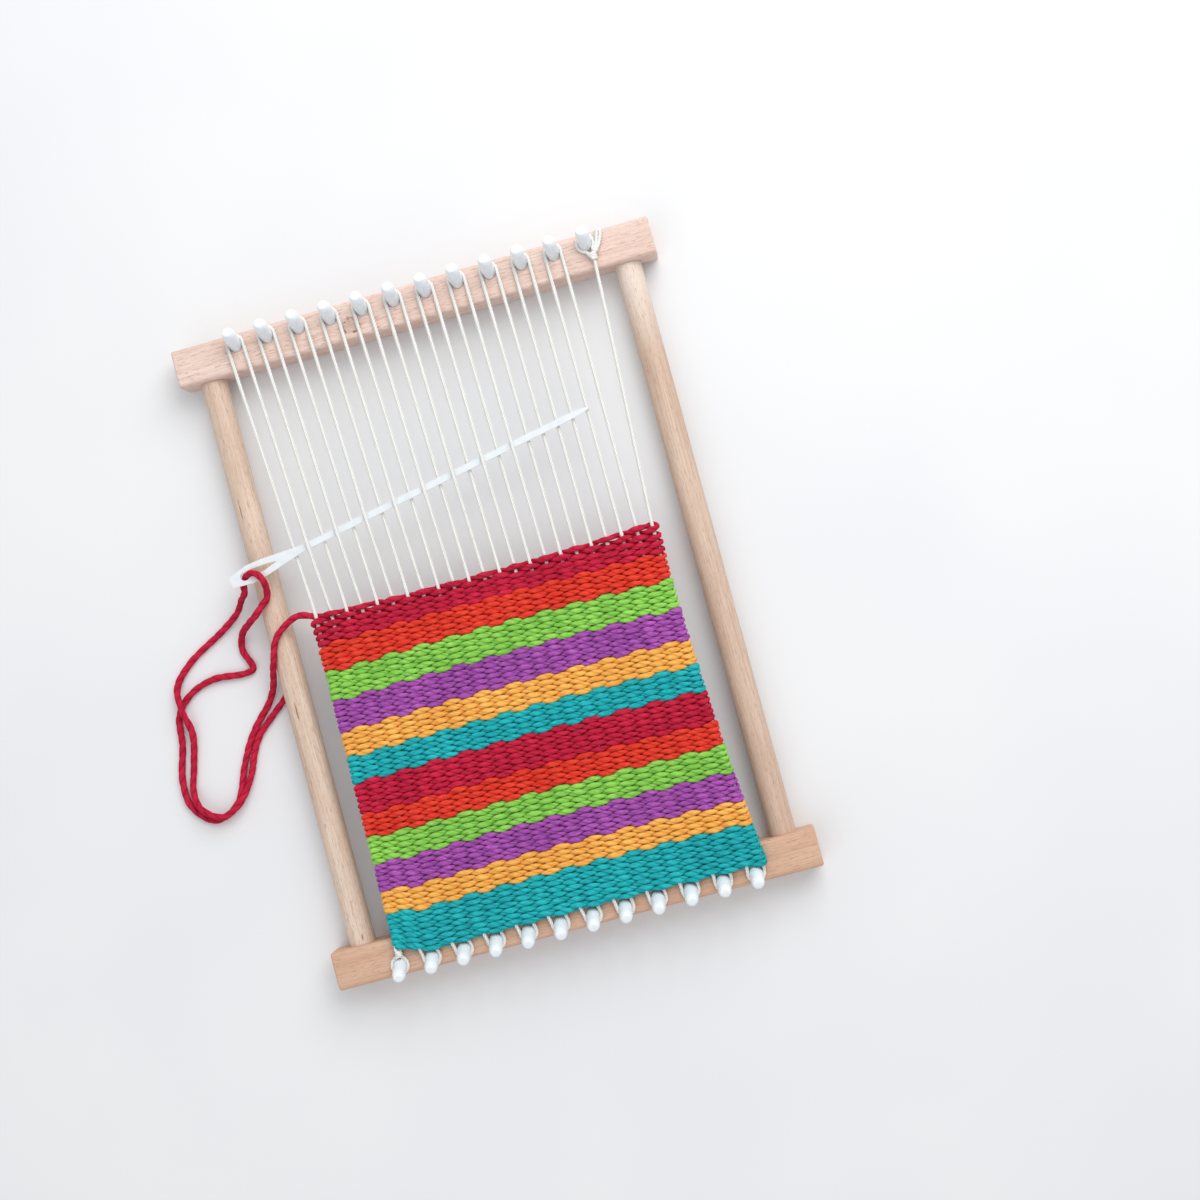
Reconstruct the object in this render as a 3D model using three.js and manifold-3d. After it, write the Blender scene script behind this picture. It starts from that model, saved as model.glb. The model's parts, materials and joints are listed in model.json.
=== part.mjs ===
// Tapestry frame loom, lying flat, with a weaving in progress on it.
// Millimetres, +Z up. X runs along the rails and Y up the posts. The origin is in the middle of
// the bottom rail's underside, so the loom's own plane of rest is z = 0.
// Two square rails are joined by two round posts. Twelve leaning pegs in each rail carry one
// continuous warp string, striped weft bands fill the lower half, and a flat needle with the
// working yarn in its eye is halfway through the open warp.
import * as THREE from "three";
import { mergeVertices } from "three/addons/utils/BufferGeometryUtils.js";
import Module from "manifold-3d";

const wasm = await Module();
wasm.setup();

// ---- Driving dimensions -------------------------------------------------------------------

const LOOM_LENGTH = 300; // over the rails' outer sides
const RAIL = { length: 225, side: 17.5, edgeRadius: 2, endEase: 0.6 };
const POST = { diameter: 12, spacing: 197, socketDepth: 12 };
const PEG = {
  count: 12,
  pitch: 15,
  diameter: 6,
  lean: THREE.MathUtils.degToRad(22), // away from the weaving
  height: 12, // above the rail's face, along the peg
  depth: 10, // below it
  offset: 3.5, // from the rail's middle line, towards its outer side
};
const WARP = { diameter: 1.4, plane: 20, sides: 5 };
const WEFT = { thickness: 3.6, tunnel: 2, selvedge: 1.8, bandGap: 0.2 };
const NEEDLE = {
  length: 180,
  bladeWidth: 3,
  eyeWidth: 8.6,
  endWidth: 4.8,
  thickness: 1.2,
  slotWidth: 3.6,
  tip: [65.4, 214.8],
  angle: THREE.MathUtils.degToRad(10.6), // from the rails, rising towards the tip
  liftedThreads: 16, // the even threads up to this one pass over it
};
const YARN_DIAMETER = 2.5;
const GAP = 0.15; // between a turned piece and its hole, and between touching strands

const COLOURS = {
  beech: 0xe0c2ab,
  pegWhite: 0xe8edf1,
  cotton: 0xf1efe8,
  needleWhite: 0xe9ecee,
  crimson: 0xb91b3a,
  orange: 0xe8402a,
  green: 0x73be3c,
  purple: 0x873c96,
  gold: 0xf0aa41,
  teal: 0x1ea5aa,
};

// The stripes from the open warp down, with each one's height.
const BANDS = [
  ["crimson", 12.7],
  ["orange", 12.3],
  ["green", 13.5],
  ["purple", 14],
  ["gold", 12],
  ["teal", 11.8],
  ["crimson", 14.7],
  ["orange", 11],
  ["green", 12.3],
  ["purple", 13],
  ["gold", 10.9],
  ["teal", 18.8],
];

// ---- Places worked out from them ----------------------------------------------------------

const railSpacing = LOOM_LENGTH - RAIL.side;
const TOP = { y: railSpacing, outward: 1 };
const BOTTOM = { y: 0, outward: -1 };
const fellY = BANDS.reduce((sum, [, height]) => sum + height, 0); // the weaving's upper edge
const middleBorderY = BANDS.slice(BANDS.length / 2).reduce((sum, [, height]) => sum + height, 0);
const threadCount = 2 * PEG.count - 1;
const loopRadius = PEG.diameter / 2 + WARP.diameter / 2 + 2 * GAP;
const needleZ = WARP.plane + WARP.diameter / 2 + 0.1 + NEEDLE.thickness / 2;
const liftedZ = needleZ + NEEDLE.thickness / 2 + WARP.diameter / 2 + GAP;

const pegX = (i) => (i - (PEG.count - 1) / 2) * PEG.pitch;

// A peg's axis: where it leaves the rail's face, and its direction.
function pegAxis(i, rail) {
  const base = new THREE.Vector3(pegX(i), rail.y + rail.outward * PEG.offset, RAIL.side);
  const up = new THREE.Vector3(0, rail.outward * Math.sin(PEG.lean), Math.cos(PEG.lean));
  const out = new THREE.Vector3(0, rail.outward * Math.cos(PEG.lean), -Math.sin(PEG.lean));
  return { base, up, out };
}

// The side edges of the weaving, at the outermost threads: the left one is straight, and the
// right one draws in towards the top.
function weavingEdges(y) {
  const down = (fellY - y) / fellY;
  return [-78.5 - 2.5 * down, 78.8 + 8.2 * down * down];
}

// Thread k, from 0 on the left, inside the weaving.
function threadX(k, y) {
  const [left, right] = weavingEdges(y);
  return THREE.MathUtils.lerp(left, right, k / (threadCount - 1));
}

// A place given by the distance back from the needle's tip, across it, and above the ground.
function onNeedle(back, across, z) {
  const { tip, angle } = NEEDLE;
  return new THREE.Vector3(
    tip[0] - back * Math.cos(angle) - across * Math.sin(angle),
    tip[1] - back * Math.sin(angle) + across * Math.cos(angle),
    z,
  );
}

// ---- Helpers ------------------------------------------------------------------------------

const loom = new THREE.Group();

function addPiece(name, geometry, colour, roughness, metalness = 0) {
  const material = new THREE.MeshStandardMaterial({ color: colour, roughness, metalness });
  const mesh = new THREE.Mesh(geometry, material);
  mesh.name = name;
  loom.add(mesh);
  return mesh;
}

function toSolid(geometry) {
  const bare = geometry.clone();
  bare.deleteAttribute("normal");
  bare.deleteAttribute("uv");
  const merged = mergeVertices(bare, 1e-4);
  return new wasm.Manifold(
    new wasm.Mesh({
      numProp: 3,
      vertProperties: merged.attributes.position.array,
      triVerts: new Uint32Array(merged.index.array),
    }),
  );
}

function toGeometry(solid) {
  const mesh = solid.getMesh();
  const geometry = new THREE.BufferGeometry();
  geometry.setAttribute("position", new THREE.BufferAttribute(mesh.vertProperties, 3));
  geometry.setIndex(new THREE.BufferAttribute(mesh.triVerts, 1));
  geometry.computeVertexNormals();
  return geometry;
}

function drill(solid, tools) {
  return tools.reduce((left, tool) => left.subtract(toSolid(tool)), solid);
}

// A path that goes straight from station to station, so that a tube swept along it has one ring
// of corners at each of them and none in between.
class StationPath extends THREE.Curve {
  constructor(stations) {
    super();
    this.stations = stations;
  }

  getPoint(t) {
    const last = this.stations.length - 1;
    return this.stations[Math.round(t * last)].clone();
  }

  getPointAt(u) {
    return this.getPoint(u);
  }

  getTangentAt(u) {
    const last = this.stations.length - 1;
    const at = Math.round(u * last);
    const before = this.stations[Math.max(at - 1, 0)];
    const here = this.stations[at];
    const after = this.stations[Math.min(at + 1, last)];
    const arriving = here.clone().sub(before).normalize();
    const leaving = after.clone().sub(here).normalize();
    return arriving.add(leaving).normalize();
  }
}

function sweepRound(stations, diameter, sides) {
  const section = new THREE.Shape();
  for (let i = 0; i < sides; i++) {
    const angle = (2 * Math.PI * i) / sides;
    const x = (diameter / 2) * Math.cos(angle);
    const y = (diameter / 2) * Math.sin(angle);
    if (i === 0) section.moveTo(x, y);
    else section.lineTo(x, y);
  }
  section.closePath();
  return new THREE.ExtrudeGeometry(section, {
    steps: stations.length - 1,
    extrudePath: new StationPath(stations),
  });
}

// ---- Rails --------------------------------------------------------------------------------

// The rail's square section with its four long edges rounded, swept along X. The ends are eased.
function railBar() {
  const half = RAIL.side / 2;
  const r = RAIL.edgeRadius;
  const section = new THREE.Shape();
  section.absarc(half - r, half - r, r, 0, Math.PI / 2);
  section.absarc(r - half, half - r, r, Math.PI / 2, Math.PI);
  section.absarc(r - half, r - half, r, Math.PI, 1.5 * Math.PI);
  section.absarc(half - r, r - half, r, 1.5 * Math.PI, 2 * Math.PI);
  const bar = new THREE.ExtrudeGeometry(section, {
    depth: RAIL.length - 2 * RAIL.endEase,
    curveSegments: 5,
    bevelThickness: RAIL.endEase,
    bevelSize: RAIL.endEase,
    bevelOffset: -RAIL.endEase,
    bevelSegments: 1,
  });
  bar.translate(0, 0, RAIL.endEase - RAIL.length / 2);
  bar.rotateY(Math.PI / 2);
  bar.translate(0, 0, half);
  return bar;
}

// The leaning blind hole for one peg, open at the rail's face.
function pegHole(i, rail) {
  const radius = PEG.diameter / 2 + GAP;
  const above = 4;
  const hole = new THREE.CylinderGeometry(radius, radius, PEG.depth + GAP + above, 16);
  hole.translate(0, (above - PEG.depth - GAP) / 2, 0);
  hole.rotateX(Math.PI / 2 - rail.outward * PEG.lean);
  const { base } = pegAxis(i, rail);
  hole.translate(base.x, base.y, base.z);
  return hole;
}

// The blind socket for a post, in the rail's inner side.
function postSocket(side, rail) {
  const radius = POST.diameter / 2 + GAP;
  const socket = new THREE.CylinderGeometry(radius, radius, 2 * POST.socketDepth, 40);
  const innerFace = rail.y - (rail.outward * RAIL.side) / 2;
  socket.translate((side * POST.spacing) / 2, innerFace, RAIL.side / 2);
  return socket;
}

function makeRail(name, rail) {
  const bar = toSolid(railBar().translate(0, rail.y, 0));
  const holes = [postSocket(-1, rail), postSocket(1, rail)];
  for (let i = 0; i < PEG.count; i++) holes.push(pegHole(i, rail));
  addPiece(name, toGeometry(drill(bar, holes)), COLOURS.beech, 0.55);
}

// ---- Posts and pegs -----------------------------------------------------------------------

function makePost(name, side) {
  const radius = POST.diameter / 2;
  const length = railSpacing - RAIL.side + 2 * (POST.socketDepth - 2 * GAP);
  const dowel = new THREE.CylinderGeometry(radius, radius, length, 40);
  const post = addPiece(name, dowel, COLOURS.beech, 0.5);
  post.position.set((side * POST.spacing) / 2, railSpacing / 2, RAIL.side / 2);
}

// A round pin with a domed head, turned about its own axis from the foot to the crown.
function pegShape() {
  const radius = PEG.diameter / 2;
  const dome = 2;
  const profile = [
    new THREE.Vector2(0, -PEG.depth),
    new THREE.Vector2(radius, -PEG.depth),
    new THREE.Vector2(radius, PEG.height - dome),
    new THREE.Vector2(radius * 0.78, PEG.height - dome * 0.35),
    new THREE.Vector2(0, PEG.height),
  ];
  return new THREE.LatheGeometry(profile, 12);
}

function makePegs(prefix, rail) {
  for (let i = 0; i < PEG.count; i++) {
    const number = String(i + 1).padStart(2, "0");
    const peg = addPiece(prefix + "_peg_" + number, pegShape(), COLOURS.pegWhite, 0.25);
    peg.position.copy(pegAxis(i, rail).base);
    peg.rotation.x = Math.PI / 2 - rail.outward * PEG.lean;
  }
}

// ---- Warp ---------------------------------------------------------------------------------

// A place on a coil round a peg: turn is 0 on its right, a quarter on its outer side, and so on.
function aroundPeg(i, rail, turn, height) {
  const { base, up, out } = pegAxis(i, rail);
  const angle = 2 * Math.PI * turn;
  return base
    .clone()
    .addScaledVector(up, height)
    .addScaledVector(out, loopRadius * Math.sin(angle))
    .add(new THREE.Vector3(loopRadius * Math.cos(angle), 0, 0));
}

const restHeight = (WARP.plane - RAIL.side) / Math.cos(PEG.lean); // of a loop on its peg

function coil(i, rail, fromTurn, toTurn, fromHeight, toHeight) {
  const steps = Math.ceil(Math.abs(toTurn - fromTurn) * 12);
  const places = [];
  for (let s = 0; s <= steps; s++) {
    const turn = THREE.MathUtils.lerp(fromTurn, toTurn, s / steps);
    const height = THREE.MathUtils.lerp(fromHeight, toHeight, s / steps);
    places.push(aroundPeg(i, rail, turn, height));
  }
  return places;
}

// The half turn that carries the string round the outer side of a peg, level with the warp.
function loopOver(i, rail, leftwards) {
  const places = [];
  const steps = 6;
  const middle = pegAxis(i, rail).base;
  middle.y += rail.outward * (WARP.plane - RAIL.side) * Math.tan(PEG.lean);
  for (let s = 0; s <= steps; s++) {
    const angle = (Math.PI * (leftwards ? s : steps - s)) / steps;
    const x = middle.x + loopRadius * Math.cos(angle);
    const y = middle.y + rail.outward * (loopRadius + 0.2) * Math.sin(angle);
    places.push(new THREE.Vector3(x, y, WARP.plane));
  }
  return places;
}

// The stations of thread k between the pegs, from its upper end down. A lifted thread rises
// straight to the needle, crosses it level and goes straight down again.
function threadStations(k, upper) {
  const fell = new THREE.Vector3(threadX(k, fellY), fellY, WARP.plane);
  const stations = [];
  const isLifted = (k + 1) % 2 === 0 && k + 1 <= NEEDLE.liftedThreads;
  if (isLifted) {
    const run = fell.clone().sub(upper);
    const slope = Math.tan(NEEDLE.angle);
    const [tipX, tipY] = NEEDLE.tip;
    const ahead = tipY + (upper.x - tipX) * slope - upper.y;
    const share = ahead / (run.y - run.x * slope);
    const halfLevel = (NEEDLE.eyeWidth / 2 + 1) / Math.abs(run.y);
    for (const at of [share - halfLevel, share + halfLevel]) {
      stations.push(upper.clone().addScaledVector(run, at).setZ(liftedZ));
    }
  }
  stations.push(fell);
  for (const y of [middleBorderY, 0]) {
    stations.push(new THREE.Vector3(threadX(k, y), y, WARP.plane));
  }
  return stations;
}

// One string: it starts with a tail and a knot's coil on the last top peg, runs down and up
// round the pegs from right to left, and ends with a coil and a tail on the first bottom peg.
// The first thread leaves its knot on the peg's inner right side, and the last one meets its peg
// in the middle of the inner side.
function warpStations() {
  const last = PEG.count - 1;
  const coilTop = restHeight + 2.4;
  const leaves = 0.87;
  const tail = aroundPeg(last, TOP, leaves, coilTop).add(new THREE.Vector3(3, 7, 1));
  const stations = [tail, ...coil(last, TOP, leaves - 1, leaves, coilTop, restHeight)];
  for (let i = last; i >= 0; i--) {
    stations.push(...threadStations(2 * i, stations.at(-1)));
    if (i === 0) break;
    stations.push(...loopOver(i, BOTTOM, true));
    const upperLoop = loopOver(i - 1, TOP, true);
    stations.push(...threadStations(2 * i - 1, upperLoop[0]).reverse());
    stations.push(...upperLoop);
  }
  const meets = -0.25;
  stations.push(...coil(0, BOTTOM, meets, meets + 1.3, restHeight, coilTop));
  stations.push(aroundPeg(0, BOTTOM, meets + 1.3, coilTop).add(new THREE.Vector3(2, 2.5, 1.5)));
  return stations;
}

function makeWarp() {
  const string = sweepRound(warpStations(), WARP.diameter, WARP.sides);
  addPiece("warp_string", string, COLOURS.cotton, 0.85);
}

// ---- Weft ---------------------------------------------------------------------------------

// A square tunnel round thread k's straight run between two heights.
function warpTunnel(k, upperY, lowerY) {
  const upper = new THREE.Vector2(threadX(k, upperY), upperY);
  const lower = new THREE.Vector2(threadX(k, lowerY), lowerY);
  const length = upper.distanceTo(lower) + 2;
  const tunnel = new THREE.BoxGeometry(WEFT.tunnel, length, WEFT.tunnel);
  tunnel.rotateZ(Math.atan2(lower.x - upper.x, upper.y - lower.y));
  const middle = upper.add(lower).multiplyScalar(0.5);
  tunnel.translate(middle.x, middle.y, WARP.plane);
  return tunnel;
}

// One stripe of the weaving, as a flat slab with the warp running through it. The threads run
// straight from the fell to the middle border, and from there to the lower edge.
function makeBand(number, colour, upperY, lowerY) {
  const corner = (y, side) => {
    const x = weavingEdges(y)[side] + (side === 0 ? -1 : 1) * WEFT.selvedge;
    return new THREE.Vector2(x, y);
  };
  const outline = new THREE.Shape([
    corner(lowerY, 0),
    corner(lowerY, 1),
    corner(upperY, 1),
    corner(upperY, 0),
  ]);
  const slab = new THREE.ExtrudeGeometry(outline, {
    depth: WEFT.thickness,
    bevelEnabled: false,
  });
  slab.translate(0, 0, WARP.plane - WEFT.thickness / 2);
  const runUpper = upperY > middleBorderY ? fellY : middleBorderY;
  const runLower = upperY > middleBorderY ? middleBorderY : 0;
  const tunnels = [];
  for (let k = 0; k < threadCount; k++) tunnels.push(warpTunnel(k, runUpper, runLower));
  const name = "weft_" + String(number).padStart(2, "0") + "_" + colour;
  addPiece(name, toGeometry(drill(toSolid(slab), tunnels)), COLOURS[colour], 0.95);
}

function makeWeft() {
  let upperY = fellY;
  BANDS.forEach(([colour, height], index) => {
    const lowerY = upperY - height;
    makeBand(index + 1, colour, upperY - WEFT.bandGap, lowerY);
    upperY = lowerY;
  });
}

// ---- Needle -------------------------------------------------------------------------------

// The outline, from the tip at 0 back along X: a narrow blade that widens to the slotted eye and
// is clipped off square behind it.
function makeNeedle() {
  const blade = NEEDLE.bladeWidth / 2;
  const eye = NEEDLE.eyeWidth / 2;
  const end = NEEDLE.endWidth / 2;
  const slot = NEEDLE.slotWidth / 2;
  const pointLength = 14;
  const eyeStart = NEEDLE.length - 42;
  const eyeWidest = NEEDLE.length - 9;
  const slotEnds = [NEEDLE.length - 23, NEEDLE.length - 5];

  const outline = new THREE.Shape();
  outline.moveTo(0, -0.3);
  outline.quadraticCurveTo(pointLength / 3, -blade, pointLength, -blade);
  outline.lineTo(eyeStart, -blade);
  outline.bezierCurveTo(eyeStart + 14, -blade, eyeStart + 20, -eye, eyeWidest, -eye);
  outline.lineTo(NEEDLE.length, -end);
  outline.lineTo(NEEDLE.length, end);
  outline.lineTo(eyeWidest, eye);
  outline.bezierCurveTo(eyeStart + 20, eye, eyeStart + 14, blade, eyeStart, blade);
  outline.lineTo(pointLength, blade);
  outline.quadraticCurveTo(pointLength / 3, blade, 0, 0.3);
  outline.closePath();

  const opening = new THREE.Path();
  opening.moveTo(slotEnds[0], 0);
  opening.quadraticCurveTo(slotEnds[0] + 6, slot, slotEnds[1] - slot, slot);
  opening.absarc(slotEnds[1] - slot, 0, slot, Math.PI / 2, -Math.PI / 2, true);
  opening.quadraticCurveTo(slotEnds[0] + 6, -slot, slotEnds[0], 0);
  outline.holes.push(opening);

  const strip = new THREE.ExtrudeGeometry(outline, {
    depth: NEEDLE.thickness,
    curveSegments: 8,
    bevelEnabled: false,
  });
  strip.translate(0, 0, -NEEDLE.thickness / 2);
  strip.rotateZ(Math.PI + NEEDLE.angle);
  const needle = addPiece("needle", strip, COLOURS.needleWhite, 0.3);
  needle.position.set(...NEEDLE.tip, needleZ);
}

// ---- Working yarn -------------------------------------------------------------------------

// The yarn leaves the weaving's upper left corner, goes over the left post, lies in a long loop
// on the ground beside the loom, climbs over the post to the needle, passes down through its eye,
// and comes back beside itself to a free end under the post.
function makeWorkingYarn() {
  const radius = YARN_DIAMETER / 2;
  const ground = radius + 0.1;
  const crossing = ground + YARN_DIAMETER + 0.5; // where one strand lies over the other
  const postTop = RAIL.side / 2 + POST.diameter / 2 + radius + GAP;
  const overNeedle = needleZ + NEEDLE.thickness / 2 + radius + 2 * GAP;
  const underNeedle = needleZ - NEEDLE.thickness / 2 - radius - 2 * GAP;
  const place = (x, y, z = ground) => new THREE.Vector3(x, y, z);

  const leavingWeave = [
    place(-80.8, fellY + 2.3, WARP.plane),
    place(-86, fellY + 3.4, 18.8),
    place(-91, fellY + 2.2, postTop + 1),
    place(-95.6, fellY - 0.2, postTop + 0.4),
    place(-99.3, fellY - 3.6, postTop + 0.2),
    place(-103, fellY - 8.3, postTop - 1.2),
    place(-106.2, fellY - 11, 9.5),
    place(-106.6, fellY - 13.6, 4.8),
    place(-107.4, fellY - 16.5, ground + 0.8),
    place(-109.9, fellY - 24),
    place(-115.6, fellY - 33.3),
  ];
  const outwardStrand = [
    place(-127.5, 110.3),
    place(-132.7, 100.6),
    place(-140, 84.5),
    place(-152, 79.5),
    place(-161.5, 88.5),
    place(-162.6, 101),
    place(-158.4, 117),
    place(-156, 131),
    place(-148.2, 139),
    place(-136.5, 142.8),
    place(-122.5, 142.3),
    place(-117.3, 143.3),
    place(-119.6, 152),
    place(-117.3, 160.4, ground + 0.3),
  ];
  const throughEye = [
    place(-109.3, 165.3, 6),
    place(-102.4, 168.2, postTop - 0.7),
    place(-98.6, 171.4, postTop + 0.8),
    onNeedle(165.8, -6, overNeedle - 0.6),
    onNeedle(167, -2.6, overNeedle + 0.2),
    onNeedle(168.9, -0.4, overNeedle - 0.3),
    onNeedle(171.2, 0, needleZ),
    onNeedle(173.5, -0.4, underNeedle + 0.3),
    onNeedle(175.6, -3, underNeedle - 0.2),
    onNeedle(177, -6, underNeedle - 2),
  ];
  const returningStrand = [
    place(-112, 173.6, 9.5),
    place(-117, 169.2, 4),
    place(-126.3, 163.3, ground + 0.4),
    place(-145, 152.8),
    place(-153.5, 143.5, ground + 0.6),
    place(-153.6, 133, crossing),
    place(-152.2, 121, ground + 0.6),
    place(-155.5, 107),
    place(-158.7, 95, ground + 0.4),
    place(-156.5, 86.5, crossing),
    place(-148, 80.5, crossing),
    place(-138.5, 84.3, crossing),
    place(-131.3, 95, ground + 0.4),
    place(-124.7, 107),
    place(-112.5, 119.5),
    place(-99.8, 130.5),
  ];
  const route = new THREE.CatmullRomCurve3(
    [...leavingWeave, ...outwardStrand, ...throughEye, ...returningStrand],
    false,
    "centripetal",
  );
  const steps = 130;
  const strand = sweepRound(route.getSpacedPoints(steps), YARN_DIAMETER, 6);
  addPiece("working_yarn", strand, COLOURS.crimson, 0.95);
}

// ---- Assembly -----------------------------------------------------------------------------

makeRail("top_rail", TOP);
makeRail("bottom_rail", BOTTOM);
makePost("left_post", -1);
makePost("right_post", 1);
makePegs("top", TOP);
makePegs("bottom", BOTTOM);
makeWarp();
makeWeft();
makeNeedle();
makeWorkingYarn();

export default loom;
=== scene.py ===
"""The looks of a tapestry frame loom with a weaving in progress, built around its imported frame.

Shapes are worked out in millimetres, in the frame's own axes: X runs along the rails, Y up the
posts and Z off the table. New meshes are turned into metres as they are made.
"""
import json
import math

import bpy
import numpy as np
from mathutils import Matrix, Vector


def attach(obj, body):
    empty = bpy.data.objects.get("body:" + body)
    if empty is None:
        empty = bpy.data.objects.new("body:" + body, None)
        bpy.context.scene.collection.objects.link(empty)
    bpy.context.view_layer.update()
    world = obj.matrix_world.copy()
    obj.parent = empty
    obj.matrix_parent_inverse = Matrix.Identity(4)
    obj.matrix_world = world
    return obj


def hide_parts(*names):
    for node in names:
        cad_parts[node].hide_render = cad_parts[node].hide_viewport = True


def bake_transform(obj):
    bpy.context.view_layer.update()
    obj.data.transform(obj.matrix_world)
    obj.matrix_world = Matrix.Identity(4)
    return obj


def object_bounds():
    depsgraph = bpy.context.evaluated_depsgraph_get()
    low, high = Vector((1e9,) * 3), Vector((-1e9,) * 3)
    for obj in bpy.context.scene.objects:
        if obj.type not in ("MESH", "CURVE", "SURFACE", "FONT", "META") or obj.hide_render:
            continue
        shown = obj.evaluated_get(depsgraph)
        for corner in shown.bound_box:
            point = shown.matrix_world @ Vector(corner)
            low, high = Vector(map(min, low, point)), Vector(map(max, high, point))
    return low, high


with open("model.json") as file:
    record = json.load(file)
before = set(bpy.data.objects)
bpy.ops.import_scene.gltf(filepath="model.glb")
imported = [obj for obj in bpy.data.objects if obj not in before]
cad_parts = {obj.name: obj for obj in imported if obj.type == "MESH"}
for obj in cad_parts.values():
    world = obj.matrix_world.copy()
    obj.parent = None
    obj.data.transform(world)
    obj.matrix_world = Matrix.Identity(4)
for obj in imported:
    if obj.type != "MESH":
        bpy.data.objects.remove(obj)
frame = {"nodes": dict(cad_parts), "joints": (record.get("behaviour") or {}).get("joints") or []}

CAD_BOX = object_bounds()
MM = 0.001
rng = np.random.default_rng(12)


# ---- Reading the frame ----


def corners_of(node):
    """A CAD node's distinct corners, in millimetres."""
    vertices = frame["nodes"][node].data.vertices
    flat = np.zeros(3 * len(vertices))
    vertices.foreach_get("co", flat)
    return np.unique(flat.reshape(-1, 3).round(6), axis=0) / MM


def box_of(node):
    """A CAD node's lowest and highest corners, in millimetres."""
    points = corners_of(node)
    return points.min(0), points.max(0)


class Peg:
    """A round pin's foot, direction, length and radius, measured from its corners."""

    def __init__(self, node):
        points = corners_of(node)
        middle = points.mean(0)
        axis = np.linalg.svd(points - middle)[2][0]
        self.node = node
        self.axis = axis * np.sign(axis[2])
        along = (points - middle) @ self.axis
        across = points - middle - np.outer(along, self.axis)
        self.foot = middle + along.min() * self.axis
        self.length = along.max() - along.min()
        self.radius = np.linalg.norm(across, axis=1).max()

    def at_height(self, z):
        """Where the pin's middle line is, at a height."""
        return self.foot + self.axis * (z - self.foot[2]) / self.axis[2]


BAND_NODES = sorted(name for name in frame["nodes"] if name.startswith("weft_"))
TOP_PEGS = [Peg(name) for name in sorted(frame["nodes"]) if name.startswith("top_peg_")]
BOTTOM_PEGS = [Peg(name) for name in sorted(frame["nodes"]) if name.startswith("bottom_peg_")]
BOTTOM_RAIL = box_of("bottom_rail")
TOP_RAIL = box_of("top_rail")
LEFT_POST = box_of("left_post")

LAST_THREAD = 2 * len(TOP_PEGS) - 2  # threads are counted from 0, on the left
SELVEDGE = 2.0  # from a weft slab's edge in to the middle of the outermost visible thread
WARP_Z = float(np.mean([box_of(BAND_NODES[0])[0][2], box_of(BAND_NODES[0])[1][2]]))
WARP_RADIUS = 0.92
LOOP_CLEARANCE = 0.1  # under the loops of string that lie on the rails, round the pegs' feet
LOOP_Z = float(BOTTOM_RAIL[1][2]) + WARP_RADIUS + LOOP_CLEARANCE


def edge_line(node, y):
    """The left and right ends of a weft slab's edge at height y."""
    tolerance = 0.01
    points = corners_of(node)
    level = points[np.abs(points[:, 1] - y) < tolerance]
    return level[:, 0].min(), level[:, 0].max()


def weave_outline():
    """The stripes' borders from the top down, and the outermost threads' places at each."""
    top = box_of(BAND_NODES[0])[1][1]
    rows = [(top, *edge_line(BAND_NODES[0], top))]
    for node in BAND_NODES:
        low = box_of(node)[0][1]
        rows.append((low, *edge_line(node, low)))
    heights, left, right = np.array(rows).T
    return heights, left + SELVEDGE, right - SELVEDGE


BORDERS, LEFT_EDGE, RIGHT_EDGE = weave_outline()


def thread_x(thread, y):
    """Where a thread is inside the weaving. The thread's number may be a fraction."""
    left = np.interp(y, BORDERS[::-1], LEFT_EDGE[::-1])
    right = np.interp(y, BORDERS[::-1], RIGHT_EDGE[::-1])
    return left + (right - left) * thread / LAST_THREAD


# ---- Meshes ----


def unit(vectors):
    return vectors / np.linalg.norm(vectors, axis=-1, keepdims=True)


def add_mesh(name, corners, faces, material):
    """A smooth mesh from corners in millimetres and a list of arrays of faces."""
    mesh = bpy.data.meshes.new(name)
    mesh.vertices.add(len(corners))
    mesh.vertices.foreach_set("co", (corners * MM).astype(np.float32).ravel())
    loops = np.concatenate([part.ravel() for part in faces]).astype(np.int32)
    sizes = np.concatenate([np.full(len(part), part.shape[1]) for part in faces])
    starts = np.concatenate([[0], np.cumsum(sizes)[:-1]]).astype(np.int32)
    mesh.loops.add(len(loops))
    mesh.loops.foreach_set("vertex_index", loops)
    mesh.polygons.add(len(sizes))
    mesh.polygons.foreach_set("loop_start", starts)
    mesh.polygons.foreach_set("use_smooth", np.ones(len(sizes), bool))
    mesh.update(calc_edges=True)
    mesh.validate()
    mesh.materials.append(material)
    piece = bpy.data.objects.new(name, mesh)
    bpy.context.scene.collection.objects.link(piece)
    return piece


def tube_faces(ring_count, ring_size):
    """Faces of a closed tube: rings joined in order, and a fan over each end's middle corner."""
    index = np.arange(ring_count * ring_size).reshape(ring_count, ring_size)
    ahead = np.roll(index, -1, axis=1)
    sides = np.stack([index[:-1], ahead[:-1], ahead[1:], index[1:]], axis=-1).reshape(-1, 4)
    first = np.full(ring_size, ring_count * ring_size)
    start = np.stack([first, ahead[0], index[0]], axis=-1)
    end = np.stack([first + 1, index[-1], ahead[-1]], axis=-1)
    return [sides, np.concatenate([start, end])]


def add_attribute(piece, name, values):
    kind = "FLOAT_VECTOR" if values.ndim == 2 else "FLOAT"
    field = "vector" if values.ndim == 2 else "value"
    attribute = piece.data.attributes.new(name, kind, "POINT")
    attribute.data.foreach_set(field, values.astype(np.float32).ravel())


# ---- Paths ----


def lengths_along(places):
    steps = np.linalg.norm(np.diff(places[:, :3], axis=0), axis=1)
    return np.concatenate([[0], np.cumsum(steps)])


def resample(rows, spacing):
    """The same path with its rows spaced evenly. The first three columns are the place."""
    along = lengths_along(rows)
    count = max(2, round(along[-1] / spacing) + 1)
    stations = np.linspace(0, along[-1], count)
    return np.stack([np.interp(stations, along, column) for column in rows.T], axis=1)


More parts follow.
